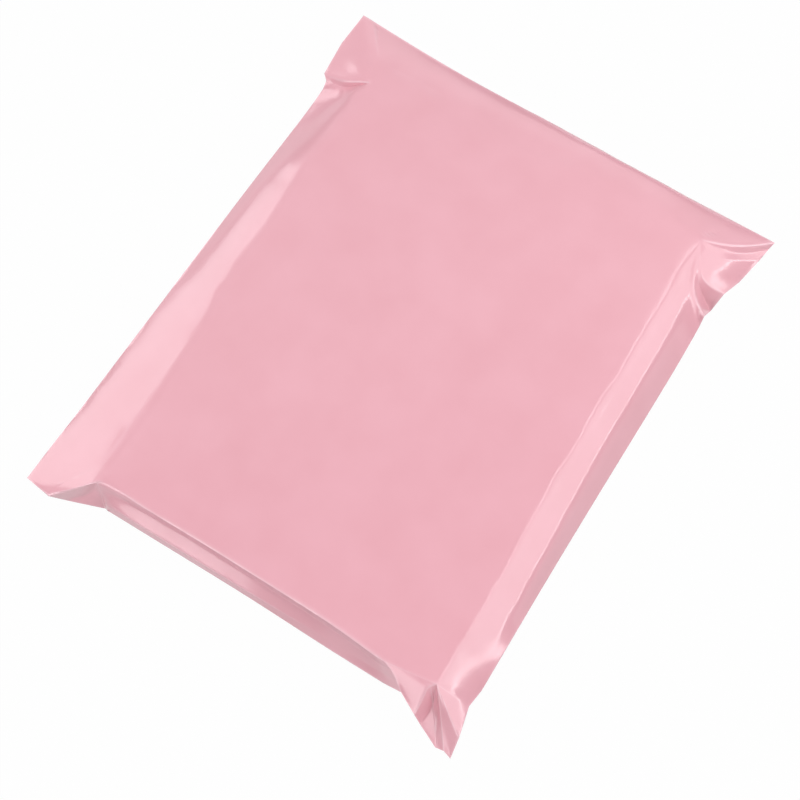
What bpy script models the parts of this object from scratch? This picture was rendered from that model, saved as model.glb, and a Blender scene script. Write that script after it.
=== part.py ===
"""A film mailer, filled with flat soft goods and sealed, lying on its back sheet.

Metres, +Z up. Front is -Y, the nearer end in use, and the sealing flap is at the back, +Y.
The origin is under the middle of the mailer, on the surface that it lies on.

The mailer is one closed body. Its shape is a cage of ribs that go once round the goods.
Each rib runs from the top edge of the goods, over the shoulder, out to the welded edge of
the film, and back under to the patch that touches the table. At the corners several ribs
start from one point, as the folds of the gathered film do. The cage is then subdivided,
and the folds are kept sharp by their crease.
"""

import math

import bmesh
import bpy
from mathutils import Vector

# The goods inside give the mailer its block shape
GOODS_WIDTH = 0.187
GOODS_LENGTH = 0.249
GOODS_HEIGHT = 0.022
GOODS_CROWN = 0.0008

# Spare film past the goods on each side, flat out to the welded edge
FILM_LEFT = 0.035
FILM_RIGHT = 0.025
FILM_FRONT = 0.020
FILM_BACK = 0.032

# The flat patch that rests on the table starts this far in from the goods' sides
CONTACT_INSET = 0.010
# How far along from that patch to the film's edge the back sheet bends up, and how high it is there
BEND_SHARE = 0.45
BEND_LIFT = 0.22

# The flap is folded round the back end and glued flat on the back sheet
FLAP_WIDTH = 0.039
FLAP_STEP = 0.0004

# Subdivision of the cage
SMOOTH_LEVELS = 2
# Film that turns by more than this from one face to the next is shaded as a fold
FOLD_ANGLE = math.radians(30)

FILM_COLOUR = (0.86, 0.43, 0.50, 1.0)
FILM_ROUGHNESS = 0.3

# The side ribs. Each one has its place along the side, from -1 to 1 over the goods' length
# or width, how far it leans along by the time it reaches the film's edge, how sharp it is,
# and then four points down the side: ridge, shoulder, waist and edge. A point is its
# distance out, as a share of the spare film there, and its height, as a share of the goods'
# height.
FRONT_RIBS = (
    (-0.90, -0.01, 0.3, (0.07, 1.00), (0.13, 0.80), (0.42, 0.62), (0.50, 0.33)),
    (-0.40, -0.05, 0.0, (0.00, 1.00), (0.06, 0.80), (0.40, 0.61), (0.47, 0.33)),
    (0.05, -0.05, 0.0, (0.00, 1.00), (0.05, 0.78), (0.36, 0.57), (0.43, 0.31)),
    (0.42, -0.03, 0.0, (-0.01, 1.00), (0.04, 0.71), (0.29, 0.46), (0.46, 0.27)),
    (0.69, 0.09, 0.4, (0.08, 1.00), (0.16, 0.64), (0.28, 0.41), (0.44, 0.27)),
    (0.75, 0.14, 1.0, (0.07, 0.99), (0.15, 0.94), (0.28, 0.85), (0.44, 0.73)),
)
RIGHT_RIBS = (
    (-0.85, 0.05, 0.4, (0.05, 1.00), (0.28, 0.85), (0.52, 0.64), (0.79, 0.36)),
    (-0.71, -0.00, 0.0, (0.06, 1.00), (0.32, 0.86), (0.57, 0.73), (0.79, 0.61)),
    (-0.45, 0.02, 0.0, (0.02, 1.00), (0.28, 0.85), (0.56, 0.72), (0.73, 0.14)),
    (0.03, 0.03, 0.0, (-0.07, 1.00), (0.17, 0.87), (0.40, 0.76), (0.72, 0.11)),
    (0.54, 0.04, 0.0, (-0.05, 1.00), (0.18, 0.88), (0.39, 0.78), (0.73, 0.11)),
    (0.90, -0.14, 0.3, (-0.12, 1.00), (0.09, 0.87), (0.29, 0.78), (0.71, 0.14)),
)
BACK_RIBS = (
    (0.77, 0.31, 0.0, (0.28, 0.99), (0.46, 0.92), (0.68, 0.77), (0.79, 0.57)),
    (0.58, 0.24, 0.0, (0.28, 0.99), (0.51, 0.93), (0.71, 0.82), (0.77, 0.64)),
    (0.34, 0.15, 0.0, (0.25, 0.99), (0.53, 0.93), (0.76, 0.84), (0.77, 0.68)),
    (-0.11, 0.10, 0.0, (0.04, 0.99), (0.37, 0.93), (0.69, 0.84), (0.81, 0.70)),
    (-0.58, 0.00, 0.0, (-0.14, 0.99), (0.27, 0.93), (0.61, 0.84), (0.81, 0.70)),
    (-0.91, -0.13, 0.0, (-0.04, 0.99), (0.31, 0.94), (0.65, 0.84), (0.90, 0.70)),
)
LEFT_RIBS = (
    (0.86, -0.09, 0.0, (0.07, 0.98), (0.20, 0.88), (0.48, 0.64), (0.82, 0.34)),
    (0.48, -0.10, 0.0, (0.23, 0.98), (0.44, 0.85), (0.74, 0.64), (0.86, 0.34)),
    (-0.12, -0.06, 0.0, (0.11, 0.98), (0.35, 0.80), (0.65, 0.55), (0.91, 0.32)),
    (-0.56, -0.10, 0.0, (-0.02, 0.98), (0.33, 0.80), (0.74, 0.55), (0.96, 0.32)),
    (-0.72, -0.10, 0.0, (-0.01, 0.98), (0.33, 0.80), (0.74, 0.55), (0.97, 0.32)),
    (-0.87, -0.09, 0.0, (-0.01, 0.98), (0.32, 0.80), (0.73, 0.55), (1.00, 0.32)),
)

# The corner folds. All of a corner's folds start at the same point of the goods' top edge.
# Each then has three points on its way out: near, middle and edge. A point is its distance
# out past the side and past the end, as shares of the spare film there, and its height, as
# a share of the goods' height. The last value is how sharp the fold is.
FRONT_RIGHT_START = (0.09, -0.12, 1.00)
FRONT_RIGHT_FOLDS = {
    "tuck": ((-0.03, 0.05, 0.96), (-0.01, 0.35, 0.83), (0.00, 0.70, 0.64), 0.9),
    "foot": ((0.11, 0.06, 0.75), (0.21, 0.30, 0.45), (0.14, 0.78, 0.27), 0.7),
    "inner": ((0.19, 0.10, 0.75), (0.36, 0.41, 0.41), (0.59, 1.03, 0.20), 0.9),
    "crest": ((0.21, 0.08, 0.89), (0.38, 0.34, 0.66), (0.76, 1.00, 0.27), 0.9),
    "tip": ((0.23, 0.05, 0.93), (0.49, 0.33, 0.70), (0.93, 1.06, 0.20), 0.3),
    "flank": ((0.27, 0.03, 0.92), (0.55, 0.32, 0.73), (0.89, 0.57, 0.55), 0.9),
    "brow": ((0.33, -0.11, 0.90), (0.55, -0.12, 0.79), (0.76, -0.12, 0.62), 0.9),
    "dip": ((0.30, -0.32, 0.82), (0.55, -0.40, 0.55), (0.79, -0.59, 0.18), 0.3),
}
BACK_RIGHT_START = (-0.11, 0.12, 1.00)
BACK_RIGHT_FOLDS = {
    "tongue": ((0.05, -0.29, 0.93), (0.27, -0.63, 0.85), (0.71, -0.85, 0.61), 0.7),
    "pocket": ((0.13, -0.25, 0.90), (0.29, -0.51, 0.81), (0.72, -0.58, 0.11), 0.9),
    "lower": ((0.16, -0.19, 0.89), (0.30, -0.43, 0.83), (0.81, -0.36, 0.55), 0.9),
    "brim": ((0.21, -0.13, 0.88), (0.41, -0.22, 0.81), (0.93, -0.02, 0.41), 0.6),
    "bank": ((0.24, -0.02, 0.88), (0.53, 0.09, 0.77), (1.05, 0.43, 0.48), 0.6),
    "hollow": ((0.24, 0.14, 0.87), (0.69, 0.32, 0.66), (1.09, 0.70, 0.42), 0.4),
    "tip": ((0.25, 0.23, 0.95), (0.72, 0.45, 0.77), (1.13, 0.80, 0.52), 0.4),
}
BACK_LEFT_START = (0.08, -0.12, 0.98)
BACK_LEFT_FOLDS = {
    "crest": ((0.14, 0.25, 0.95), (0.40, 0.61, 0.85), (0.73, 0.96, 0.70), 0.4),
    "tip": ((0.35, 0.18, 0.92), (0.60, 0.54, 0.83), (0.87, 0.97, 0.70), 0.0),
    "flange": ((0.44, 0.00, 0.89), (0.65, 0.17, 0.80), (0.90, 0.35, 0.69), 0.0),
    "lip": ((0.28, -0.18, 0.88), (0.51, -0.28, 0.78), (0.85, -0.26, 0.66), 0.4),
    "mouth": ((0.27, -0.21, 0.77), (0.48, -0.33, 0.60), (0.77, -0.32, 0.59), 0.9),
    "sill": ((0.20, -0.36, 0.85), (0.41, -0.49, 0.68), (0.78, -0.45, 0.48), 0.5),
}
FRONT_LEFT_START = (-0.03, 0.12, 1.00)
FRONT_LEFT_FOLDS = {
    "tip": ((0.27, 0.35, 0.83), (0.62, 0.62, 0.61), (1.00, 0.88, 0.39), 0.2),
    "crest": ((0.13, 0.40, 0.91), (0.32, 0.68, 0.76), (0.53, 0.98, 0.57), 0.9),
    "pit": ((0.07, 0.32, 0.70), (0.22, 0.59, 0.41), (0.40, 0.83, 0.11), 0.4),
    "heel": ((-0.04, 0.20, 0.68), (-0.08, 0.32, 0.39), (-0.14, 0.47, 0.11), 0.8),
}

# How sharp the long lines are: the ridge along the goods' top edge, the shoulder and the waist
FRONT_SHARP = (0.6, 0.6, 0.6)
FRONT_RIGHT_SHARP = (0.7, 0.3, 0.0)
RIGHT_SHARP = (0.5, 0.0, 0.5)
BACK_RIGHT_SHARP = (0.7, 0.0, 0.0)
BACK_SHARP = (0.3, 0.0, 0.0)
BACK_LEFT_SHARP = (0.3, 0.0, 0.0)
LEFT_SHARP = (0.2, 0.0, 0.0)
FRONT_LEFT_SHARP = (0.2, 0.0, 0.0)


class Side:
    """One side of the goods: where it is, which way is out, and the spare film there."""

    def __init__(self, out, half_width, half_length, film):
        self.out = Vector(out)
        self.along = Vector((abs(out[1]), abs(out[0]), 0.0))
        self.half_out = half_length if out[1] else half_width
        self.half_along = half_width if out[1] else half_length
        self.film = film

    def point(self, along, out, height):
        """A point from its shares along the side, out past it and up it."""
        plan = self.along * (along * self.half_along)
        plan += self.out * (self.half_out + out * self.film)
        return plan + Vector((0.0, 0.0, height * GOODS_HEIGHT))

    def rib(self, along, lean, *points):
        """The points of one rib, from the ridge to the film's edge."""
        steps = len(points) - 1
        return [
            self.point(along + lean * step / steps, out, height)
            for step, (out, height) in enumerate(points)
        ]

    def contact(self, rib):
        """Where a rib of this side ends, on the edge of the flat patch under the goods."""
        along = rib[0].dot(self.along) * (1.0 - CONTACT_INSET / self.half_along)
        return self.along * along + self.out * (self.half_out - CONTACT_INSET)


class Corner:
    """One corner of the goods, between a long side and an end."""

    def __init__(self, side, end):
        self.side = side
        self.end = end
        self.at = side.out * side.half_out + end.out * end.half_out

    def point(self, out_side, out_end, height):
        """A point from its shares out past the side, out past the end and up the goods."""
        plan = self.at + self.side.out * (out_side * self.side.film)
        plan += self.end.out * (out_end * self.end.film)
        return plan + Vector((0.0, 0.0, height * GOODS_HEIGHT))

    def contact(self):
        """The corner of the flat patch under the goods."""
        return self.at - (self.side.out + self.end.out) * CONTACT_INSET


def make_sides():
    """The four sides of the goods."""
    half_width = GOODS_WIDTH / 2
    half_length = GOODS_LENGTH / 2
    return {
        "front": Side((0, -1, 0), half_width, half_length, FILM_FRONT),
        "right": Side((1, 0, 0), half_width, half_length, FILM_RIGHT),
        "back": Side((0, 1, 0), half_width, half_length, FILM_BACK),
        "left": Side((-1, 0, 0), half_width, half_length, FILM_LEFT),
    }


def side_ribs(side, rows, sharp):
    """The ribs of one side, each with its points, its contact point and its sharpness."""
    ribs = []
    for along, lean, fold, *points in rows:
        points = side.rib(along, lean, *points)
        ribs.append({"points": points, "contact": side.contact(points), "fold": fold, "lines": sharp})
    return ribs


def corner_ribs(corner, start, folds, sharp):
    """The folds of one corner as ribs that share their first and last points."""
    ribs = []
    for near, middle, edge, fold in folds.values():
        points = [corner.point(*place) for place in (start, near, middle, edge)]
        ribs.append({"points": points, "contact": corner.contact(), "fold": fold, "lines": sharp})
    return ribs


def all_ribs():
    """Every rib, in order round the goods: front, right, back, left, with the corners between."""
    side = make_sides()
    front_right = Corner(side["right"], side["front"])
    back_right = Corner(side["right"], side["back"])
    back_left = Corner(side["left"], side["back"])
    front_left = Corner(side["left"], side["front"])
    return [
        side_ribs(side["front"], FRONT_RIBS, FRONT_SHARP),
        corner_ribs(front_right, FRONT_RIGHT_START, FRONT_RIGHT_FOLDS, FRONT_RIGHT_SHARP),
        side_ribs(side["right"], RIGHT_RIBS, RIGHT_SHARP),
        corner_ribs(back_right, BACK_RIGHT_START, BACK_RIGHT_FOLDS, BACK_RIGHT_SHARP),
        side_ribs(side["back"], BACK_RIBS, BACK_SHARP),
        corner_ribs(back_left, BACK_LEFT_START, BACK_LEFT_FOLDS, BACK_LEFT_SHARP),
        side_ribs(side["left"], LEFT_RIBS, LEFT_SHARP),
        corner_ribs(front_left, FRONT_LEFT_START, FRONT_LEFT_FOLDS, FRONT_LEFT_SHARP),
    ]


def under_bend(edge, contact):
    """Where the back sheet bends up from the table on its way to the film's edge."""
    bend = contact.lerp(edge, BEND_SHARE)
    bend.z = edge.z * BEND_LIFT
    return bend


def add_ribs(bm, groups):
    """Adds each rib's points to the mesh, from the ridge round to the patch under the goods."""
    ribs = []
    for group in groups:
        shared_top = None
        shared_foot = None
        folds = len({tuple(rib["points"][0]) for rib in group}) == 1
        for rib in group:
            contact = rib["contact"]
            bend = under_bend(rib["points"][-1], contact)
            top = shared_top or bm.verts.new(rib["points"][0])
            foot = shared_foot or bm.verts.new(contact)
            if folds:
                shared_top = top
                shared_foot = foot
            middle = [bm.verts.new(place) for place in rib["points"][1:] + [bend]]
            verts = [top] + middle + [foot]
            bent = folds or rib["fold"] > 0.0
            ribs.append({"verts": verts, "fold": rib["fold"], "lines": rib["lines"], "bent": bent})
    return ribs


def join_ribs(bm, ribs):
    """Faces between each rib and the next, in rows from the ridge to the patch under the goods."""
    for first, second in zip(ribs, ribs[1:] + ribs[:1]):
        rows = list(zip(first["verts"], second["verts"]))
        for (a, b), (c, d) in zip(rows, rows[1:]):
            loop = [a, c, d, b]
            bm.faces.new(sorted(set(loop), key=loop.index))


def ring(ribs, place):
    """The vertices of one row, once each, in order round the goods."""
    verts = [rib["verts"][place] for rib in ribs]
    return sorted(set(verts), key=verts.index)


def fill_grid(bm, loop, counts, crown, facing_up):
    """Fills a four-sided loop with a grid that is drawn in between its sides."""
    across, deep = counts
    front = loop[: across + 1]
    right = loop[across : across + deep + 1]
    back = (loop + loop[:1])[across + deep : 2 * across + deep + 1][::-1]
    left = (loop + loop[:1])[2 * across + deep :][::-1]
    rows = [front]
    for j in range(1, deep):
        v = j / deep
        row = [left[j]]
        for i in range(1, across):
            u = i / across
            between_ends = front[i].co.lerp(back[i].co, v)
            between_sides = left[j].co.lerp(right[j].co, u)
            corners = front[0].co.lerp(front[-1].co, u).lerp(back[0].co.lerp(back[-1].co, u), v)
            place = between_ends + between_sides - corners
            place.z += crown
            row.append(bm.verts.new(place))
        rows.append(row + [right[j]])
    rows.append(back)
    for near, far in zip(rows, rows[1:]):
        for i in range(across):
            face = [near[i], near[i + 1], far[i + 1], far[i]]
            bm.faces.new(face if facing_up else face[::-1])


def crease_cage(bm, ribs):
    """Keeps the folds, the ridge, the waist and the film's edge sharp."""
    line_sharp = bm.edges.layers.float["crease_edge"]
    point_sharp = bm.verts.layers.float["crease_vert"]
    edge, foot = 3, 5

    def crease(a, b, weight):
        line = bm.edges.get((a, b)) if a is not b else None
        if line:
            line[line_sharp] = max(line[line_sharp], weight)

    for first, second in zip(ribs, ribs[1:] + ribs[:1]):
        lines = [min(pair) for pair in zip(first["lines"], second["lines"])]
        for row, weight in (*enumerate(lines), (edge, 1.0), (foot, 1.0)):
            crease(first["verts"][row], second["verts"][row], weight)
        for near, far in zip(first["verts"][:edge], first["verts"][1 : edge + 1]):
            crease(near, far, first["fold"])
        if first["bent"]:
            first["verts"][edge][point_sharp] = 1.0


def centre_on_box(bm):
    """Moves the cage so that the middle of its box is over the origin."""
    xs = [vert.co.x for vert in bm.verts]
    ys = [vert.co.y for vert in bm.verts]
    middle = Vector(((min(xs) + max(xs)) / 2, (min(ys) + max(ys)) / 2, 0.0))
    bmesh.ops.translate(bm, verts=bm.verts, vec=-middle)


def build_cage():
    """The closed cage of the whole mailer."""
    bm = bmesh.new()
    bm.edges.layers.float.new("crease_edge")
    bm.verts.layers.float.new("crease_vert")
    ribs = add_ribs(bm, all_ribs())
    # The grid's corners are the corner folds' shared points, so each loop starts at one
    counts = (len(FRONT_RIBS) + 1, len(RIGHT_RIBS) + 1)
    start = len(ribs) - len(FRONT_LEFT_FOLDS)
    turned = ribs[start:] + ribs[:start]
    join_ribs(bm, ribs)
    fill_grid(bm, ring(turned, 0), counts, GOODS_CROWN, True)
    fill_grid(bm, ring(turned, -1), counts, 0.0, False)
    crease_cage(bm, ribs)
    centre_on_box(bm)
    return bm


def film_material():
    """Glossy pink polyethylene film."""
    material = bpy.data.materials.new("film")
    material.use_nodes = True
    shader = material.node_tree.nodes["Principled BSDF"]
    shader.inputs["Base Color"].default_value = FILM_COLOUR
    shader.inputs["Roughness"].default_value = FILM_ROUGHNESS
    shader.inputs["Metallic"].default_value = 0.0
    material.diffuse_color = FILM_COLOUR
    return material


def smoothed(bm):
    """The cage subdivided between its folds, as a mesh of its own."""
    mesh = bpy.data.meshes.new("cage")
    bm.to_mesh(mesh)
    bm.free()
    cage = bpy.data.objects.new("cage", mesh)
    bpy.context.scene.collection.objects.link(cage)
    smooth = cage.modifiers.new("smooth", "SUBSURF")
    smooth.levels = SMOOTH_LEVELS
    smooth.render_levels = SMOOTH_LEVELS
    view = bpy.context.evaluated_depsgraph_get()
    result = bpy.data.meshes.new_from_object(cage.evaluated_get(view))
    bpy.data.objects.remove(cage)
    return result


def glue_flap(bm):
    """Thickens the back sheet by the flap, from the flap's free edge to the back end."""
    bm.normal_update()
    free_edge = max(vert.co.y for vert in bm.verts) - FLAP_WIDTH
    for cut in (free_edge - FLAP_STEP, free_edge):
        under = [face for face in bm.faces if face.normal.z < 0.0]
        edges = {edge for face in under for edge in face.edges}
        verts = {vert for face in under for vert in face.verts}
        plane = (0.0, cut, 0.0)
        bmesh.ops.bisect_plane(
            bm, geom=under + list(edges) + list(verts), plane_co=plane, plane_no=(0.0, 1.0, 0.0)
        )
    bm.normal_update()
    for vert in bm.verts:
        underneath = all(face.normal.z < 0.0 for face in vert.link_faces)
        if underneath and vert.co.y > free_edge - FLAP_STEP / 2:
            vert.co.z = max(0.0, vert.co.z - FLAP_STEP)


def make_mailer():
    """The mailer: the smoothed cage with the flap glued on its back."""
    mesh = smoothed(build_cage())
    mesh.name = "mailer_bag"
    bm = bmesh.new()
    bm.from_mesh(mesh)
    glue_flap(bm)
    bm.to_mesh(mesh)
    bm.free()
    mesh.shade_smooth()
    mesh.set_sharp_from_angle(angle=FOLD_ANGLE)
    mesh.materials.clear()
    mesh.materials.append(film_material())
    mailer = bpy.data.objects.new("mailer_bag", mesh)
    bpy.context.scene.collection.objects.link(mailer)
    return mailer


def clear_scene():
    """Removes whatever the scene holds."""
    for item in list(bpy.data.objects):
        bpy.data.objects.remove(item)


clear_scene()
make_mailer()
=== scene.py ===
"""The look of a filled film mailer that lies on a table: a glossy pink bag in soft studio light.

The mailer's form is a cage of ribs round the goods, subdivided finely between its folds,
with the small waves and wrinkles of thin film laid over it.
"""

import math

import bmesh
import bpy
from mathutils import Matrix, Vector, noise


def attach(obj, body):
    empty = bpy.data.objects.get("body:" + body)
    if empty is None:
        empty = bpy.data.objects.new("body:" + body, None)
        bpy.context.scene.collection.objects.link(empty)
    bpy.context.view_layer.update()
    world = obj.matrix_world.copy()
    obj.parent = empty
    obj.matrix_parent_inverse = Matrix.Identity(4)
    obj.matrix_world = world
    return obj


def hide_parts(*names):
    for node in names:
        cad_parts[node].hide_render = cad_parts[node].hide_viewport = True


# The goods inside give the mailer its block shape
GOODS_WIDTH = 0.187
GOODS_LENGTH = 0.249
GOODS_HEIGHT = 0.022
GOODS_CROWN = 0.0008

# Spare film past the goods on each side, flat out to the welded edge
FILM_LEFT = 0.035
FILM_RIGHT = 0.025
FILM_FRONT = 0.020
FILM_BACK = 0.032

# The flat patch that rests on the table starts this far in from the goods' sides
CONTACT_INSET = 0.010
# How far along from that patch to the film's edge the back sheet bends up, and how high it is there
BEND_SHARE = 0.45
BEND_LIFT = 0.22

# The flap is folded round the back end and glued flat on the back sheet
FLAP_WIDTH = 0.039
FLAP_STEP = 0.0004

# How far past the goods' sides the film is fully loose
LOOSE_PAST = 0.005

# Subdivision of the cage
SMOOTH_LEVELS = 4
# Film that turns by more than this from one face to the next is shaded as a fold
FOLD_ANGLE = math.radians(30)

# Small unevenness of the film: each layer's height, and its lengths across and along the mailer
WAVES = (
    (0.00050, 0.050, 0.065),
    (0.00018, 0.022, 0.030),
)
# Ripples of the loose film round the goods, drawn out down the slopes: each layer's height and length
RIPPLES = (
    (0.00055, 0.020),
    (0.00028, 0.009),
)
# How many times as long a ripple is down the slope as along it, and how far down it slants by one
RIPPLE_STRETCH = 3
RIPPLE_SLANT = 4
# Each layer takes its own slice of the noise, so that no two are alike
WAVE_SLICE = 7.0
FIRST_RIPPLE_SLICE = 11.0
RIPPLE_SLICE = 5.0
# The share of the waves that is gone where the film is fully loose
WAVES_LOST = 0.6
# Waves and ripples fade out below this height, down to the table
FADES_BELOW = GOODS_HEIGHT / 3

# Film is painted paler where it bends outwards hard. This is partly the stress whitening of creased
# film and partly a painted highlight along the folds and ridges.
# The bend from which it shows, and at which it is full, in radians per metre across the two faces
# that meet there
FOLD_WHITE_AND_HIGHLIGHT_FROM = 100.0
FOLD_WHITE_AND_HIGHLIGHT_FULL = 420.0
# Points whose normal is lower than this, on the underside, get neither the whitening nor the painted
# highlight
FOLD_WHITE_AND_HIGHLIGHT_ABOVE = -0.2
# The least edge length and face width that a bend is worked out from
LEAST_EDGE = 1e-6
LEAST_WIDTH = 1e-4

# The camera, as fitted to the photograph: its place, its right and up, its lens and sensor in mm
CAMERA_PLACE = (0.1764, -0.1892, 0.6995)
CAMERA_RIGHT = (0.8415, 0.5355, -0.0712)
CAMERA_UP = (-0.4897, 0.8118, 0.3183)
CAMERA_LENS = 67.5
CAMERA_SENSOR = 36.0

# Light: the room's own level, then each softbox's direction, distance, size and watts per
# square metre
ROOM_LIGHT = 0.02
SOFTBOXES = (
    ("softbox_right", (0.63, 0.19, 0.75), 1.2, (1.4, 0.55), 10.2),
    ("strip_high", (0.31, 0.18, 0.93), 1.2, (1.1, 0.06), 33.0),
    ("strip_low", (0.80, 0.25, 0.55), 1.2, (1.0, 0.08), 38.0),
    ("softbox_left", (-0.93, 0.03, 0.34), 1.2, (0.8, 0.64), 11.0),
    ("softbox_front", (-0.22, -0.81, 0.54), 1.2, (1.1, 0.55), 12.4),
    ("softbox_top", (-0.45, 0.53, 0.72), 1.3, (1.5, 1.30), 1.8),
    ("softbox_back", (-0.22, 0.84, 0.48), 1.3, (1.4, 0.45), 3.0),
)

# The floor, and how much of what the camera and reflections see of it is plain white
FLOOR_SIZE = 6.0
FLOOR_GLOW = 0.985
FLOOR_COLOUR = (0.42, 0.42, 0.42, 1.0)
FLOOR_ROUGHNESS = 0.9
FLOOR_SPECULAR = 0.2
WHITE = (1.0, 1.0, 1.0, 1.0)

# The film: its colour from deepest to palest, and the paler colour painted along its outward folds,
# partly stress whitening and partly painted highlight
FILM_DEEP = (0.770, 0.385, 0.440, 1.0)
FILM_PALE = (0.825, 0.438, 0.505, 1.0)
FILM_FOLD_WHITE_AND_HIGHLIGHT = (0.88, 0.56, 0.62, 1.0)
# The film's roughness, from glossiest to dullest
FILM_ROUGHNESS = (0.14, 0.22)
# Noise per metre and its detail, for the colour and for the gloss
COLOUR_CLOUDS = (38.0, 2.0)
GLOSS_CLOUDS = (60.0, 2.0)
# Bump layers: noise per metre, detail, strength and depth
FILM_BUMPS = (
    (160.0, 2.0, 0.15, 0.0004),
    (1400.0, 2.0, 0.12, 0.00005),
)

# The side ribs. Each one has its place along the side, from -1 to 1 over the goods' length
# or width, how far it leans along by the time it reaches the film's edge, how sharp it is,
# and then four points down the side: ridge, shoulder, waist and edge. A point is its
# distance out, as a share of the spare film there, and its height, as a share of the goods'
# height.
FRONT_RIBS = (
    (-0.90, -0.01, 0.3, (0.07, 1.00), (0.13, 0.80), (0.42, 0.62), (0.50, 0.33)),
    (-0.40, -0.05, 0.0, (0.00, 1.00), (0.06, 0.80), (0.40, 0.61), (0.47, 0.33)),
    (0.05, -0.05, 0.0, (0.00, 1.00), (0.05, 0.78), (0.36, 0.57), (0.43, 0.31)),
    (0.42, -0.03, 0.0, (-0.01, 1.00), (0.04, 0.71), (0.29, 0.46), (0.46, 0.27)),
    (0.69, 0.09, 0.4, (0.08, 1.00), (0.16, 0.64), (0.28, 0.41), (0.44, 0.27)),
    (0.75, 0.14, 1.0, (0.07, 0.99), (0.15, 0.94), (0.28, 0.85), (0.44, 0.73)),
)
RIGHT_RIBS = (
    (-0.85, 0.05, 0.2, (0.05, 1.00), (0.28, 0.86), (0.52, 0.70), (0.79, 0.52)),
    (-0.71, -0.00, 0.0, (0.06, 1.00), (0.32, 0.86), (0.57, 0.73), (0.79, 0.61)),
    (-0.45, 0.02, 0.0, (0.02, 1.00), (0.28, 0.85), (0.56, 0.72), (0.73, 0.14)),
    (0.03, 0.03, 0.0, (-0.07, 1.00), (0.17, 0.87), (0.40, 0.76), (0.72, 0.11)),
    (0.54, 0.04, 0.0, (-0.05, 1.00), (0.18, 0.88), (0.39, 0.78), (0.73, 0.11)),
    (0.90, -0.14, 0.2, (-0.12, 1.00), (0.09, 0.87), (0.29, 0.80), (0.71, 0.36)),
)
BACK_RIBS = (
    (0.77, 0.31, 0.0, (0.28, 0.99), (0.46, 0.92), (0.68, 0.77), (0.79, 0.57)),
    (0.58, 0.24, 0.0, (0.28, 0.99), (0.51, 0.93), (0.71, 0.82), (0.77, 0.64)),
    (0.34, 0.15, 0.0, (0.25, 0.99), (0.53, 0.93), (0.76, 0.84), (0.77, 0.68)),
    (-0.11, 0.10, 0.0, (0.04, 0.99), (0.37, 0.93), (0.69, 0.84), (0.81, 0.70)),
    (-0.58, 0.00, 0.0, (-0.14, 0.99), (0.27, 0.93), (0.61, 0.84), (0.81, 0.70)),
    (-0.91, -0.13, 0.0, (-0.04, 0.99), (0.31, 0.94), (0.65, 0.84), (0.90, 0.70)),
)
LEFT_RIBS = (
    (0.86, -0.09, 0.0, (0.05, 1.00), (0.24, 0.90), (0.46, 0.62), (0.82, 0.25)),
    (0.48, -0.10, 0.0, (0.20, 0.99), (0.38, 0.90), (0.68, 0.64), (0.86, 0.34)),
    (-0.12, -0.06, 0.0, (0.11, 0.98), (0.35, 0.80), (0.65, 0.55), (0.91, 0.32)),
    (-0.56, -0.10, 0.0, (-0.02, 0.98), (0.33, 0.80), (0.74, 0.55), (0.96, 0.32)),
    (-0.72, -0.10, 0.0, (-0.01, 0.98), (0.33, 0.80), (0.74, 0.55), (0.97, 0.32)),
    (-0.87, -0.09, 0.0, (-0.01, 0.98), (0.32, 0.80), (0.73, 0.55), (1.00, 0.32)),
)

# The corner folds. All of a corner's folds start at the same point of the goods' top edge.
# Each then has three points on its way out: near, middle and edge. A point is its distance
# out past the side and past the end, as shares of the spare film there, and its height, as
# a share of the goods' height. The last value is how sharp the fold is.
FRONT_RIGHT_START = (0.09, -0.12, 1.00)
FRONT_RIGHT_FOLDS = {
    "tuck": ((-0.03, 0.05, 0.96), (-0.01, 0.35, 0.83), (0.00, 0.70, 0.64), 0.9),
    "foot": ((0.11, 0.06, 0.75), (0.21, 0.30, 0.45), (0.14, 0.78, 0.27), 0.7),
    "inner": ((0.19, 0.10, 0.75), (0.36, 0.41, 0.41), (0.59, 1.03, 0.20), 0.9),
    "crest": ((0.21, 0.08, 0.89), (0.38, 0.34, 0.66), (0.76, 1.00, 0.27), 0.9),
    "tip": ((0.23, 0.05, 0.93), (0.49, 0.33, 0.70), (0.93, 1.06, 0.20), 0.3),
    "flank": ((0.27, 0.03, 0.92), (0.55, 0.32, 0.73), (0.89, 0.57, 0.55), 0.9),
    "brow": ((0.33, -0.11, 0.90), (0.55, -0.12, 0.79), (0.76, -0.12, 0.62), 0.9),
    "dip": ((0.30, -0.32, 0.86), (0.55, -0.40, 0.68), (0.79, -0.59, 0.42), 0.3),
}
BACK_RIGHT_START = (-0.11, 0.12, 1.00)
BACK_RIGHT_FOLDS = {
    "tongue": ((0.05, -0.29, 0.93), (0.27, -0.63, 0.85), (0.71, -0.85, 0.61), 0.2),
    "pocket": ((0.13, -0.25, 0.90), (0.29, -0.51, 0.81), (0.72, -0.58, 0.11), 0.9),
    "lower": ((0.16, -0.19, 0.89), (0.30, -0.43, 0.83), (0.81, -0.36, 0.57), 0.9),
    "brim": ((0.21, -0.13, 0.88), (0.41, -0.22, 0.81), (0.93, -0.02, 0.41), 0.6),
    "bank": ((0.24, -0.02, 0.88), (0.53, 0.09, 0.77), (1.05, 0.43, 0.48), 0.6),
    "hollow": ((0.24, 0.14, 0.87), (0.69, 0.32, 0.66), (1.09, 0.70, 0.42), 0.4),
    "tip": ((0.25, 0.23, 0.95), (0.72, 0.45, 0.77), (1.13, 0.80, 0.52), 0.4),
}
BACK_LEFT_START = (0.08, -0.12, 0.98)
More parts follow.
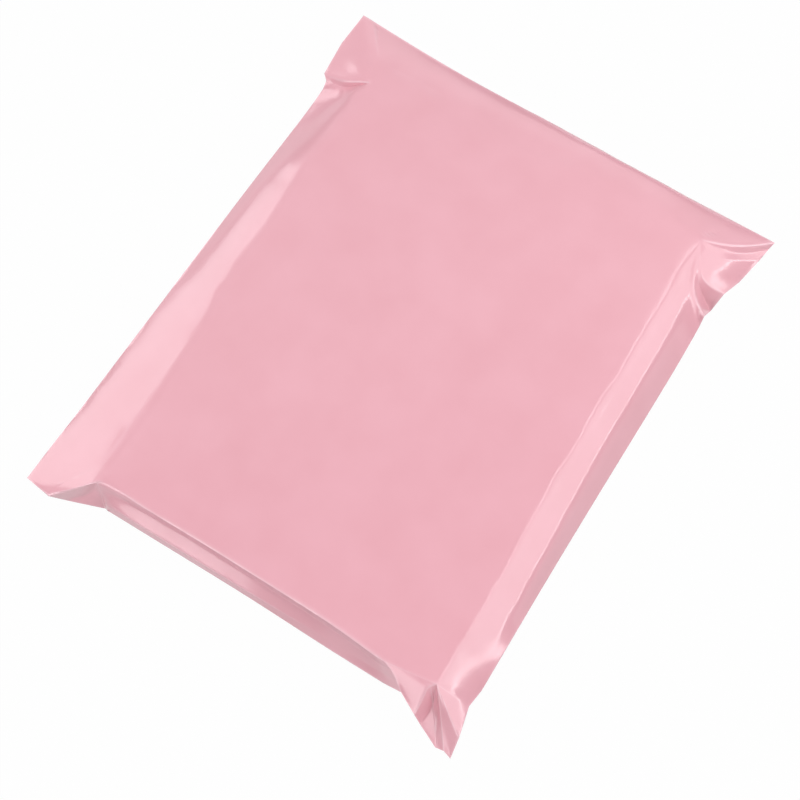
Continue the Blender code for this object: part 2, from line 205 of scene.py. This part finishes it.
BACK_LEFT_FOLDS = {
    "crest": ((0.14, 0.25, 0.95), (0.40, 0.61, 0.85), (0.73, 0.96, 0.70), 0.4),
    "tip": ((0.35, 0.18, 0.92), (0.60, 0.54, 0.83), (0.87, 0.97, 0.70), 0.0),
    "flange": ((0.44, 0.00, 0.89), (0.65, 0.17, 0.80), (0.90, 0.35, 0.69), 0.0),
    "lip": ((0.28, -0.18, 0.88), (0.51, -0.28, 0.78), (0.85, -0.26, 0.66), 0.4),
    "mouth": ((0.27, -0.21, 0.77), (0.48, -0.33, 0.58), (0.77, -0.34, 0.61), 0.9),
    "sill": ((0.24, -0.38, 0.90), (0.43, -0.49, 0.66), (0.78, -0.45, 0.44), 0.3),
}
FRONT_LEFT_START = (-0.03, 0.12, 1.00)
FRONT_LEFT_FOLDS = {
    "tip": ((0.27, 0.35, 0.83), (0.62, 0.62, 0.61), (1.00, 0.88, 0.39), 0.2),
    "crest": ((0.13, 0.40, 0.91), (0.32, 0.68, 0.76), (0.53, 0.98, 0.57), 0.9),
    "pit": ((0.02, 0.20, 0.62), (0.13, 0.42, 0.32), (0.40, 0.80, 0.09), 0.4),
    "heel": ((-0.04, 0.20, 0.68), (-0.08, 0.32, 0.39), (-0.14, 0.47, 0.11), 0.8),
}

# How sharp the long lines are: the ridge along the goods' top edge, the shoulder and the waist
FRONT_SHARP = (0.6, 0.6, 0.6)
FRONT_RIGHT_SHARP = (0.7, 0.3, 0.0)
RIGHT_SHARP = (0.4, 0.0, 0.35)
BACK_RIGHT_SHARP = (0.7, 0.0, 0.0)
BACK_SHARP = (0.3, 0.0, 0.0)
BACK_LEFT_SHARP = (0.3, 0.0, 0.0)
LEFT_SHARP = (0.0, 0.0, 0.0)
FRONT_LEFT_SHARP = (0.2, 0.0, 0.0)


class Side:
    """One side of the goods: where it is, which way is out, and the spare film there."""

    def __init__(self, out, half_width, half_length, film):
        self.out = Vector(out)
        self.along = Vector((abs(out[1]), abs(out[0]), 0.0))
        self.half_out = half_length if out[1] else half_width
        self.half_along = half_width if out[1] else half_length
        self.film = film

    def point(self, along, out, height):
        """A point from its shares along the side, out past it and up it."""
        plan = self.along * (along * self.half_along)
        plan += self.out * (self.half_out + out * self.film)
        return plan + Vector((0.0, 0.0, height * GOODS_HEIGHT))

    def rib(self, along, lean, *points):
        """The points of one rib, from the ridge to the film's edge."""
        steps = len(points) - 1
        return [
            self.point(along + lean * step / steps, out, height)
            for step, (out, height) in enumerate(points)
        ]

    def contact(self, rib):
        """Where a rib of this side ends, on the edge of the flat patch under the goods."""
        along = rib[0].dot(self.along) * (1.0 - CONTACT_INSET / self.half_along)
        return self.along * along + self.out * (self.half_out - CONTACT_INSET)


class Corner:
    """One corner of the goods, between a long side and an end."""

    def __init__(self, side, end):
        self.side = side
        self.end = end
        self.at = side.out * side.half_out + end.out * end.half_out

    def point(self, out_side, out_end, height):
        """A point from its shares out past the side, out past the end and up the goods."""
        plan = self.at + self.side.out * (out_side * self.side.film)
        plan += self.end.out * (out_end * self.end.film)
        return plan + Vector((0.0, 0.0, height * GOODS_HEIGHT))

    def contact(self):
        """The corner of the flat patch under the goods."""
        return self.at - (self.side.out + self.end.out) * CONTACT_INSET


def make_sides():
    """The four sides of the goods."""
    half_width = GOODS_WIDTH / 2
    half_length = GOODS_LENGTH / 2
    return {
        "front": Side((0, -1, 0), half_width, half_length, FILM_FRONT),
        "right": Side((1, 0, 0), half_width, half_length, FILM_RIGHT),
        "back": Side((0, 1, 0), half_width, half_length, FILM_BACK),
        "left": Side((-1, 0, 0), half_width, half_length, FILM_LEFT),
    }


def side_ribs(side, rows, sharp):
    """The ribs of one side, each with its points, its contact point and its sharpness."""
    ribs = []
    for along, lean, fold, *points in rows:
        points = side.rib(along, lean, *points)
        ribs.append({"points": points, "contact": side.contact(points), "fold": fold, "lines": sharp})
    return ribs


def corner_ribs(corner, start, folds, sharp):
    """The folds of one corner as ribs that share their first and last points."""
    ribs = []
    for near, middle, edge, fold in folds.values():
        points = [corner.point(*place) for place in (start, near, middle, edge)]
        ribs.append({"points": points, "contact": corner.contact(), "fold": fold, "lines": sharp})
    return ribs


def all_ribs():
    """Every rib, in order round the goods: front, right, back, left, with the corners between."""
    side = make_sides()
    front_right = Corner(side["right"], side["front"])
    back_right = Corner(side["right"], side["back"])
    back_left = Corner(side["left"], side["back"])
    front_left = Corner(side["left"], side["front"])
    return [
        side_ribs(side["front"], FRONT_RIBS, FRONT_SHARP),
        corner_ribs(front_right, FRONT_RIGHT_START, FRONT_RIGHT_FOLDS, FRONT_RIGHT_SHARP),
        side_ribs(side["right"], RIGHT_RIBS, RIGHT_SHARP),
        corner_ribs(back_right, BACK_RIGHT_START, BACK_RIGHT_FOLDS, BACK_RIGHT_SHARP),
        side_ribs(side["back"], BACK_RIBS, BACK_SHARP),
        corner_ribs(back_left, BACK_LEFT_START, BACK_LEFT_FOLDS, BACK_LEFT_SHARP),
        side_ribs(side["left"], LEFT_RIBS, LEFT_SHARP),
        corner_ribs(front_left, FRONT_LEFT_START, FRONT_LEFT_FOLDS, FRONT_LEFT_SHARP),
    ]


def under_bend(edge, contact):
    """Where the back sheet bends up from the table on its way to the film's edge."""
    bend = contact.lerp(edge, BEND_SHARE)
    bend.z = edge.z * BEND_LIFT
    return bend


def add_ribs(bm, groups):
    """Adds each rib's points to the mesh, from the ridge round to the patch under the goods."""
    ribs = []
    for group in groups:
        shared_top = None
        shared_foot = None
        folds = len({tuple(rib["points"][0]) for rib in group}) == 1
        for rib in group:
            contact = rib["contact"]
            bend = under_bend(rib["points"][-1], contact)
            top = shared_top or bm.verts.new(rib["points"][0])
            foot = shared_foot or bm.verts.new(contact)
            if folds:
                shared_top = top
                shared_foot = foot
            middle = [bm.verts.new(place) for place in rib["points"][1:] + [bend]]
            verts = [top] + middle + [foot]
            bent = folds or rib["fold"] > 0.0
            ribs.append({"verts": verts, "fold": rib["fold"], "lines": rib["lines"], "bent": bent})
    return ribs


def join_ribs(bm, ribs):
    """Faces between each rib and the next, in rows from the ridge to the patch under the goods."""
    for first, second in zip(ribs, ribs[1:] + ribs[:1]):
        rows = list(zip(first["verts"], second["verts"]))
        for (a, b), (c, d) in zip(rows, rows[1:]):
            loop = [a, c, d, b]
            bm.faces.new(sorted(set(loop), key=loop.index))


def ring(ribs, place):
    """The vertices of one row, once each, in order round the goods."""
    verts = [rib["verts"][place] for rib in ribs]
    return sorted(set(verts), key=verts.index)


def fill_grid(bm, loop, counts, crown, facing_up):
    """Fills a four-sided loop with a grid that is drawn in between its sides."""
    across, deep = counts
    front = loop[: across + 1]
    right = loop[across : across + deep + 1]
    back = (loop + loop[:1])[across + deep : 2 * across + deep + 1][::-1]
    left = (loop + loop[:1])[2 * across + deep :][::-1]
    rows = [front]
    for j in range(1, deep):
        v = j / deep
        row = [left[j]]
        for i in range(1, across):
            u = i / across
            between_ends = front[i].co.lerp(back[i].co, v)
            between_sides = left[j].co.lerp(right[j].co, u)
            corners = front[0].co.lerp(front[-1].co, u).lerp(back[0].co.lerp(back[-1].co, u), v)
            place = between_ends + between_sides - corners
            place.z += crown
            row.append(bm.verts.new(place))
        rows.append(row + [right[j]])
    rows.append(back)
    for near, far in zip(rows, rows[1:]):
        for i in range(across):
            face = [near[i], near[i + 1], far[i + 1], far[i]]
            bm.faces.new(face if facing_up else face[::-1])


def crease_cage(bm, ribs):
    """Keeps the folds, the long lines, the film's edge and the patch under the goods sharp."""
    line_sharp = bm.edges.layers.float["crease_edge"]
    point_sharp = bm.verts.layers.float["crease_vert"]
    edge, foot = 3, 5

    def crease(a, b, weight):
        line = bm.edges.get((a, b)) if a is not b else None
        if line:
            line[line_sharp] = max(line[line_sharp], weight)

    for first, second in zip(ribs, ribs[1:] + ribs[:1]):
        lines = [min(pair) for pair in zip(first["lines"], second["lines"])]
        for row, weight in (*enumerate(lines), (edge, 1.0), (foot, 1.0)):
            crease(first["verts"][row], second["verts"][row], weight)
        for near, far in zip(first["verts"][:edge], first["verts"][1 : edge + 1]):
            crease(near, far, first["fold"])
        if first["bent"]:
            first["verts"][edge][point_sharp] = 1.0


def centre_on_box(bm):
    """Moves the cage so that the middle of its box is over the origin."""
    xs = [vert.co.x for vert in bm.verts]
    ys = [vert.co.y for vert in bm.verts]
    middle = Vector(((min(xs) + max(xs)) / 2, (min(ys) + max(ys)) / 2, 0.0))
    bmesh.ops.translate(bm, verts=bm.verts, vec=-middle)


def build_cage():
    """The closed cage of the whole mailer."""
    bm = bmesh.new()
    bm.edges.layers.float.new("crease_edge")
    bm.verts.layers.float.new("crease_vert")
    ribs = add_ribs(bm, all_ribs())
    # The grid's corners are the corner folds' shared points, so each loop starts at one
    counts = (len(FRONT_RIBS) + 1, len(RIGHT_RIBS) + 1)
    start = len(ribs) - len(FRONT_LEFT_FOLDS)
    turned = ribs[start:] + ribs[:start]
    join_ribs(bm, ribs)
    fill_grid(bm, ring(turned, 0), counts, GOODS_CROWN, True)
    fill_grid(bm, ring(turned, -1), counts, 0.0, False)
    crease_cage(bm, ribs)
    centre_on_box(bm)
    return bm


def smoothed(bm):
    """The cage subdivided between its folds, as a mesh of its own."""
    mesh = bpy.data.meshes.new("cage")
    bm.to_mesh(mesh)
    bm.free()
    cage = bpy.data.objects.new("cage", mesh)
    bpy.context.scene.collection.objects.link(cage)
    smooth = cage.modifiers.new("smooth", "SUBSURF")
    smooth.levels = SMOOTH_LEVELS
    smooth.render_levels = SMOOTH_LEVELS
    view = bpy.context.evaluated_depsgraph_get()
    result = bpy.data.meshes.new_from_object(cage.evaluated_get(view))
    bpy.data.objects.remove(cage)
    bpy.data.meshes.remove(mesh)
    return result


def spare_film(place):
    """How loose the film is at a point: 0 on top of the goods, 1 where it is fully loose."""
    out = max(abs(place.x) - GOODS_WIDTH / 2, abs(place.y) - GOODS_LENGTH / 2)
    return min(1.0, max(0.0, out / LOOSE_PAST))


def wave_height(place):
    """The film's broad unevenness over the goods."""
    height = 0.0
    for number, (swing, across, along) in enumerate(WAVES):
        spot = Vector((place.x / across, place.y / along, WAVE_SLICE * number))
        height += swing * noise.noise(spot)
    return height


def ripple_height(place):
    """The ripples of the loose film, drawn out down each slope."""
    beside = abs(place.x) / GOODS_WIDTH > abs(place.y) / GOODS_LENGTH
    run, fall = (place.y, place.x) if beside else (place.x, place.y)
    height = 0.0
    for number, (swing, length) in enumerate(RIPPLES):
        along = run / length + fall / length / RIPPLE_SLANT
        down = fall / length / RIPPLE_STRETCH
        spot = Vector((along, down, FIRST_RIPPLE_SLICE + RIPPLE_SLICE * number))
        height += swing * noise.noise(spot)
    return height


def unevenness(place, normal):
    """How far the film stands off its smooth form at a point."""
    loose = spare_film(place)
    upper = max(0.0, normal.z)
    return upper * ((1.0 - WAVES_LOST * loose) * wave_height(place) + loose * ripple_height(place))


def ripple_film(bm):
    """Lays the film's waves and ripples over the smooth form, less and less towards the table."""
    bm.normal_update()
    moves = []
    for vert in bm.verts:
        lift = unevenness(vert.co, vert.normal) * min(1.0, vert.co.z / FADES_BELOW)
        moves.append(vert.normal * lift)
    for vert, move in zip(bm.verts, moves):
        vert.co += move


def glue_flap(bm):
    """Thickens the back sheet by the flap, from the flap's free edge to the back end."""
    bm.normal_update()
    free_edge = max(vert.co.y for vert in bm.verts) - FLAP_WIDTH
    for cut in (free_edge - FLAP_STEP, free_edge):
        under = [face for face in bm.faces if face.normal.z < 0.0]
        edges = {edge for face in under for edge in face.edges}
        verts = {vert for face in under for vert in face.verts}
        plane = (0.0, cut, 0.0)
        bmesh.ops.bisect_plane(
            bm, geom=under + list(edges) + list(verts), plane_co=plane, plane_no=(0.0, 1.0, 0.0)
        )
    bm.normal_update()
    for vert in bm.verts:
        underneath = all(face.normal.z < 0.0 for face in vert.link_faces)
        if underneath and vert.co.y > free_edge - FLAP_STEP / 2:
            vert.co.z = max(0.0, vert.co.z - FLAP_STEP)


def bend_at(vert):
    """How hard the film bends outwards at a point, in radians per metre across two faces."""
    bends = []
    for edge in vert.link_edges:
        if len(edge.link_faces) == 2:
            area = sum(face.calc_area() for face in edge.link_faces)
            width = area / max(edge.calc_length(), LEAST_EDGE)
            bends.append(edge.calc_face_angle_signed() / max(width, LEAST_WIDTH))
    return max(bends, default=0.0)


def mark_white_and_highlit_folds(bm):
    """Stores how much paler the film is painted at its outward bends, partly stress whitening and
    partly painted highlight, evened out over near points.
    """
    layer = bm.verts.layers.float.new("fold_white_and_highlight")
    bm.normal_update()
    for vert in bm.verts:
        # Painted highlight and stress whitening along outward bends, only on film that faces up
        share = (bend_at(vert) - FOLD_WHITE_AND_HIGHLIGHT_FROM) / (FOLD_WHITE_AND_HIGHLIGHT_FULL - FOLD_WHITE_AND_HIGHLIGHT_FROM)
        vert[layer] = min(1.0, max(0.0, share)) if vert.normal.z > FOLD_WHITE_AND_HIGHLIGHT_ABOVE else 0.0
    evened = [
        (vert[layer] + sum(edge.other_vert(vert)[layer] for edge in vert.link_edges))
        / (1 + len(vert.link_edges))
        for vert in bm.verts
    ]
    for vert, value in zip(bm.verts, evened):
        vert[layer] = value


def noise_node(tree, place, scale, detail):
    """A noise texture over the mailer's own coordinates."""
    node = tree.nodes.new("ShaderNodeTexNoise")
    node.inputs["Scale"].default_value = scale
    node.inputs["Detail"].default_value = detail
    tree.links.new(place, node.inputs["Vector"])
    return node.outputs["Fac"]


def ranged(tree, value, low, high):
    """A value from 0 to 1 spread over a new range."""
    node = tree.nodes.new("ShaderNodeMapRange")
    node.clamp = False
    node.inputs["To Min"].default_value = low
    node.inputs["To Max"].default_value = high
    tree.links.new(value, node.inputs["Value"])
    return node.outputs["Result"]


def colour_mix(tree, share, first, second):
    """A blend of two colours, each of which is a link or plain values."""
    node = tree.nodes.new("ShaderNodeMix")
    node.data_type = "RGBA"
    tree.links.new(share, node.inputs["Factor"])
    for name, colour in (("A", first), ("B", second)):
        socket = [item for item in node.inputs if item.name == name and item.type == "RGBA"][0]
        if isinstance(colour, tuple):
            socket.default_value = colour
        else:
            tree.links.new(colour, socket)
    return [item for item in node.outputs if item.type == "RGBA"][0]


def film_bump(tree, place):
    """The orange peel of blown film, and the softer puckers under it."""
    normal = None
    for scale, detail, strength, depth in FILM_BUMPS:
        bump = tree.nodes.new("ShaderNodeBump")
        bump.inputs["Strength"].default_value = strength
        bump.inputs["Distance"].default_value = depth
        tree.links.new(noise_node(tree, place, scale, detail), bump.inputs["Height"])
        if normal:
            tree.links.new(normal, bump.inputs["Normal"])
        normal = bump.outputs["Normal"]
    return normal


def film_material():
    """Glossy pink polyethylene film, opaque, uneven in colour and gloss, and painted pale at its
    outward bends, partly stress whitening and partly painted highlight.
    """
    material = bpy.data.materials.new("pink_film")
    material.use_nodes = True
    tree = material.node_tree
    place = tree.nodes.new("ShaderNodeTexCoord").outputs["Object"]
    fold_white_and_highlight = tree.nodes.new("ShaderNodeAttribute")
    fold_white_and_highlight.attribute_name = "fold_white_and_highlight"
    cloud = noise_node(tree, place, *COLOUR_CLOUDS)
    film = colour_mix(tree, cloud, FILM_DEEP, FILM_PALE)
    shader = tree.nodes["Principled BSDF"]
    # Paler colour along the outward folds: partly stress whitening, partly painted highlight
    colour = colour_mix(tree, fold_white_and_highlight.outputs["Fac"], film, FILM_FOLD_WHITE_AND_HIGHLIGHT)
    tree.links.new(colour, shader.inputs["Base Color"])
    gloss = ranged(tree, noise_node(tree, place, *GLOSS_CLOUDS), *FILM_ROUGHNESS)
    tree.links.new(gloss, shader.inputs["Roughness"])
    tree.links.new(film_bump(tree, place), shader.inputs["Normal"])
    return material


def film_form():
    """The film's shape: the smoothed cage with waves, ripples and the flap on its back."""
    mesh = smoothed(build_cage())
    bm = bmesh.new()
    bm.from_mesh(mesh)
    ripple_film(bm)
    glue_flap(bm)
    mark_white_and_highlit_folds(bm)
    bm.to_mesh(mesh)
    bm.free()
    return mesh


def make_mailer():
    """The whole bag as one film skin round the goods."""
    mesh = film_form()
    mesh.name = "film_mailer"
    mesh.shade_smooth()
    mesh.set_sharp_from_angle(angle=FOLD_ANGLE)
    mesh.materials.clear()
    mesh.materials.append(film_material())
    mailer = bpy.data.objects.new("film_mailer", mesh)
    bpy.context.scene.collection.objects.link(mailer)
    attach(mailer, "root")
    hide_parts("mailer_bag")


def floor_material():
    """A plain table that is white to the camera and in reflections, with hardly any shadow."""
    material = bpy.data.materials.new("white_table")
    material.use_nodes = True
    nodes = material.node_tree.nodes
    links = material.node_tree.links
    shader = nodes["Principled BSDF"]
    shader.inputs["Base Color"].default_value = FLOOR_COLOUR
    shader.inputs["Roughness"].default_value = FLOOR_ROUGHNESS
    shader.inputs["Specular IOR Level"].default_value = FLOOR_SPECULAR
    glow = nodes.new("ShaderNodeEmission")
    glow.inputs["Color"].default_value = WHITE
    glow.inputs["Strength"].default_value = 1.0
    path = nodes.new("ShaderNodeLightPath")
    share = nodes.new("ShaderNodeMath")
    share.operation = "MULTIPLY"
    share.inputs[1].default_value = FLOOR_GLOW
    blend = nodes.new("ShaderNodeMixShader")
    seen = path.outputs["Is Camera Ray"]
    for ray in ("Is Glossy Ray", "Is Transmission Ray"):
        either = nodes.new("ShaderNodeMath")
        either.operation = "MAXIMUM"
        links.new(seen, either.inputs[0])
        links.new(path.outputs[ray], either.inputs[1])
        seen = either.outputs["Value"]
    links.new(seen, share.inputs[0])
    links.new(share.outputs["Value"], blend.inputs["Fac"])
    links.new(shader.outputs["BSDF"], blend.inputs[1])
    links.new(glow.outputs["Emission"], blend.inputs[2])
    links.new(blend.outputs["Shader"], nodes["Material Output"].inputs["Surface"])
    return material


def make_floor():
    """The table top, far wider than the view."""
    mesh = bpy.data.meshes.new("table")
    half = FLOOR_SIZE / 2
    corners = [(-half, -half, 0), (half, -half, 0), (half, half, 0), (-half, half, 0)]
    mesh.from_pydata(corners, [], [(0, 1, 2, 3)])
    mesh.materials.append(floor_material())
    table = bpy.data.objects.new("table", mesh)
    bpy.context.scene.collection.objects.link(table)


def add_softbox(name, direction, distance, size, strength):
    """A rectangular softbox in a direction from the mailer, turned to face it."""
    light = bpy.data.lights.new(name, "AREA")
    light.shape = "RECTANGLE"
    light.size, light.size_y = size
    light.energy = strength * size[0] * size[1]
    box = bpy.data.objects.new(name, light)
    box.location = Vector(direction).normalized() * distance
    box.rotation_euler = (-box.location).to_track_quat("-Z", "Y").to_euler()
    bpy.context.scene.collection.objects.link(box)


def make_lights():
    """A dim white room, with softboxes and strips on four sides and overhead."""
    world = bpy.data.worlds.new("room")
    world.use_nodes = True
    world.node_tree.nodes["Background"].inputs["Color"].default_value = WHITE
    world.node_tree.nodes["Background"].inputs["Strength"].default_value = ROOM_LIGHT
    bpy.context.scene.world = world
    for name, direction, distance, size, strength in SOFTBOXES:
        add_softbox(name, direction, distance, size, strength)


def make_camera():
    """The photograph's view: from the front right, high up."""
    right = Vector(CAMERA_RIGHT)
    up = Vector(CAMERA_UP)
    back = right.cross(up)
    turn = Matrix((right, up, back)).transposed()
    data = bpy.data.cameras.new("camera")
    data.lens = CAMERA_LENS
    data.sensor_width = CAMERA_SENSOR
    camera = bpy.data.objects.new("camera", data)
    camera.matrix_world = Matrix.Translation(CAMERA_PLACE) @ turn.to_4x4()
    bpy.context.scene.collection.objects.link(camera)
    bpy.context.scene.camera = camera


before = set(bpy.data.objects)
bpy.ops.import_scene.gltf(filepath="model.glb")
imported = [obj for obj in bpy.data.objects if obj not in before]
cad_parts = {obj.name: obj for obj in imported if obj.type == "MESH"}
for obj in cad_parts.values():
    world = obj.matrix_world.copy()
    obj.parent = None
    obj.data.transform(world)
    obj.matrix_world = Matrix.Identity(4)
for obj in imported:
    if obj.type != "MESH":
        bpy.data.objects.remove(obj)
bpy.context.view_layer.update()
make_camera()
make_lights()
make_floor()
make_mailer()
bpy.context.scene.view_settings.view_transform = "Standard"
